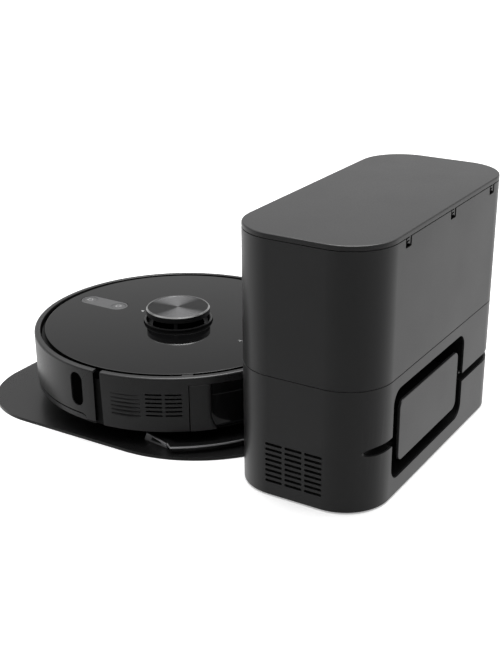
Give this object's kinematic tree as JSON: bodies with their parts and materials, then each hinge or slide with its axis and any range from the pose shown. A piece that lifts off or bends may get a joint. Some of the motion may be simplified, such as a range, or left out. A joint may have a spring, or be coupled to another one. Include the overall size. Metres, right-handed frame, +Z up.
{
  "type": "robot vacuum on its self-emptying station",
  "caption": "Round robot vacuum with a laser turret, parked on a floor tray in front of a tall self-emptying station with a hinged lid and a cord wrap in its back.",
  "frame": {"origin": "centre of the whole footprint, on the floor", "axes": "+Z up; -Y is the way the robot drives out; +Y is the station's back; +X is the side with the exhaust vents"},
  "size_m": [0.357, 0.5502, 0.2864],
  "materials": {
    "satin_black": "satin black moulded ABS",
    "robot_satin_black": "satin black moulded ABS with a fine grain",
    "tray_black": "satin black moulded ABS",
    "matte_black": "matte black inner mouldings",
    "gloss_black": "polished black",
    "dark_grey": "matte dark grey",
    "light_grey": "matte light grey",
    "spun_metal": "spun and anodised dark, bright chamfer",
    "steel": "bright",
    "rubber": "matte rubber",
    "tyre": "treaded rubber",
    "foam": "open-cell foam",
    "bag_fleece": "non-woven fleece",
    "collar_card": "pressed card",
    "circuit_board": "solder-masked board",
    "battery_wrap": "heat-shrink film",
    "bristle": "nylon bristles",
    "filter_pleats": "pleated filter paper",
    "button_grey": "fine matte grey"
  },
  "bodies": {
    "station": {"station_lower_shell": "satin_black", "station_upper_shell": "satin_black", "base_plate": "matte_black", "mid_deck": "matte_black", "cord_wrap_tub": "matte_black", "cord_wrap_cover": "satin_black", "mains_inlet": "matte_black", "suction_duct": "matte_black", "inlet_seal": "rubber", "bag_collar": "collar_card", "dust_bag": "bag_fleece", "blower_housing": "matte_black", "blower_motor": "steel", "exhaust_filter": "foam", "power_board": "circuit_board", "beacon_window": "gloss_black", "floor_tray": "tray_black"},
    "lid": {"station_lid": "satin_black", "lid_seal": "rubber"},
    "blower_rotor": {"blower_impeller": "dark_grey"},
    "contact_right": {"charge_contact_right": "steel"},
    "contact_left": {"charge_contact_left": "steel"},
    "robot": {"chassis": "matte_black", "rear_shell": "robot_satin_black", "top_deck": "matte_black", "top_cover": "gloss_black", "button_panel": "button_grey", "lidar_base": "matte_black", "lidar_motor": "steel", "lidar_belt": "rubber", "dust_bin": "gloss_black", "bin_cover": "gloss_black", "hepa_filter": "filter_pleats", "fan_housing": "matte_black", "battery_pack": "battery_wrap", "main_board": "circuit_board", "brush_housing": "matte_black", "brush_guard": "dark_grey"},
    "bumper": {"bumper": "robot_satin_black", "wall_sensor_window": "gloss_black"},
    "lidar_head": {"lidar_rotor": "gloss_black"},
    "lidar_drive": {"lidar_pulley": "light_grey"},
    "turret_cap": {"lidar_cap": "robot_satin_black", "lidar_cap_disc": "spun_metal"},
    "power_key": {"power_button": "button_grey"},
    "home_key": {"home_button": "button_grey"},
    "bin_port_flap": {"bin_flap": "rubber"},
    "bin_release": {"bin_release_button": "robot_satin_black"},
    "fan_rotor": {"fan_impeller": "light_grey"},
    "brush_roller": {"main_brush": "rubber"},
    "corner_brush": {"side_brush": "bristle"},
    "arm_right": {"wheel_arm_right": "dark_grey"},
    "arm_left": {"wheel_arm_left": "dark_grey"},
    "drive_wheel_right": {"wheel_right": "dark_grey", "tyre_right": "tyre"},
    "drive_wheel_left": {"wheel_left": "dark_grey", "tyre_left": "tyre"},
    "caster": {"caster_fork": "dark_grey"},
    "caster_roller": {"caster_wheel": "light_grey"}
  },
  "joints": [
    {"name": "undock", "type": "slide", "parent": "station", "child": "robot", "axis": [0, -1, 0], "range_m": [0, 0.42]},
    {"name": "lid_hinge", "type": "hinge", "parent": "station", "child": "lid", "pos_m": [0, 0.2751, 0.2809], "axis": [-1, 0, 0], "range_deg": [0, 80]},
    {"name": "blower_spin", "type": "hinge", "parent": "station", "child": "blower_rotor", "pos_m": [0.084, 0.16985, 0.102], "axis": [0, 0, 1], "continuous": true},
    {"name": "contact_press_right", "type": "slide", "parent": "station", "child": "contact_right", "axis": [0, 0, -1], "range_m": [0, 0.002], "stiffness_N_per_m": 800, "springref_m": -0.001},
    {"name": "contact_press_left", "type": "slide", "parent": "station", "child": "contact_left", "axis": [0, 0, -1], "range_m": [0, 0.002], "stiffness_N_per_m": 800, "springref_m": -0.001},
    {"name": "bumper_press", "type": "slide", "parent": "robot", "child": "bumper", "axis": [0, 1, 0], "range_m": [0, 0.004], "stiffness_N_per_m": 600, "springref_m": -0.002},
    {"name": "lidar_spin", "type": "hinge", "parent": "robot", "child": "lidar_head", "pos_m": [0, -0.0756, 0.09], "axis": [0, 0, 1], "continuous": true},
    {"name": "lidar_drive_spin", "type": "hinge", "parent": "robot", "child": "lidar_drive", "pos_m": [0.0169, -0.03935, 0.0795], "axis": [0, 0, 1], "continuous": true},
    {"name": "turret_cap_press", "type": "slide", "parent": "robot", "child": "turret_cap", "axis": [0, 0, -1], "range_m": [0, 0.0015], "stiffness_N_per_m": 1500, "springref_m": -0.001},
    {"name": "power_press", "type": "slide", "parent": "robot", "child": "power_key", "axis": [0, 0, -1], "range_m": [0, 0.0006], "stiffness_N_per_m": 500, "springref_m": -0.0005},
    {"name": "home_press", "type": "slide", "parent": "robot", "child": "home_key", "axis": [0, 0, -1], "range_m": [0, 0.0006], "stiffness_N_per_m": 500, "springref_m": -0.0005},
    {"name": "bin_flap_hinge", "type": "hinge", "parent": "robot", "child": "bin_port_flap", "pos_m": [0, 0.0908, 0.0544], "axis": [1, 0, 0], "range_deg": [0, 60]},
    {"name": "bin_release_press", "type": "slide", "parent": "robot", "child": "bin_release", "axis": [0, -1, 0], "range_m": [0, 0.002], "stiffness_N_per_m": 500, "springref_m": -0.0005},
    {"name": "fan_spin", "type": "hinge", "parent": "robot", "child": "fan_rotor", "pos_m": [0.056, -0.0276, 0.048], "axis": [0, 0, 1], "continuous": true},
    {"name": "main_brush_spin", "type": "hinge", "parent": "robot", "child": "brush_roller", "pos_m": [0, -0.1156, 0.0236], "axis": [1, 0, 0], "continuous": true},
    {"name": "side_brush_spin", "type": "hinge", "parent": "robot", "child": "corner_brush", "pos_m": [-0.0788, -0.17647, 0.01], "axis": [0, 0, 1], "continuous": true},
    {"name": "suspension_right", "type": "hinge", "parent": "robot", "child": "arm_right", "pos_m": [0.0925, -0.0296, 0.04], "axis": [-1, 0, 0], "range_deg": [0, 8]},
    {"name": "wheel_spin_right", "type": "hinge", "parent": "arm_right", "child": "drive_wheel_right", "pos_m": [0.113, -0.0756, 0.0368], "axis": [1, 0, 0], "continuous": true},
    {"name": "suspension_left", "type": "hinge", "parent": "robot", "child": "arm_left", "pos_m": [-0.0925, -0.0296, 0.04], "axis": [-1, 0, 0], "range_deg": [0, 8]},
    {"name": "wheel_spin_left", "type": "hinge", "parent": "arm_left", "child": "drive_wheel_left", "pos_m": [-0.113, -0.0756, 0.0368], "axis": [1, 0, 0], "continuous": true},
    {"name": "caster_swivel", "type": "hinge", "parent": "robot", "child": "caster", "pos_m": [0, -0.2056, 0.0163], "axis": [0, 0, 1], "continuous": true},
    {"name": "caster_spin", "type": "hinge", "parent": "caster", "child": "caster_roller", "pos_m": [0, -0.2026, 0.0163], "axis": [1, 0, 0], "continuous": true}
  ],
  "couplings": [
    {"joint": "lidar_drive_spin", "follows": "lidar_spin", "ratio": 6}
  ]
}
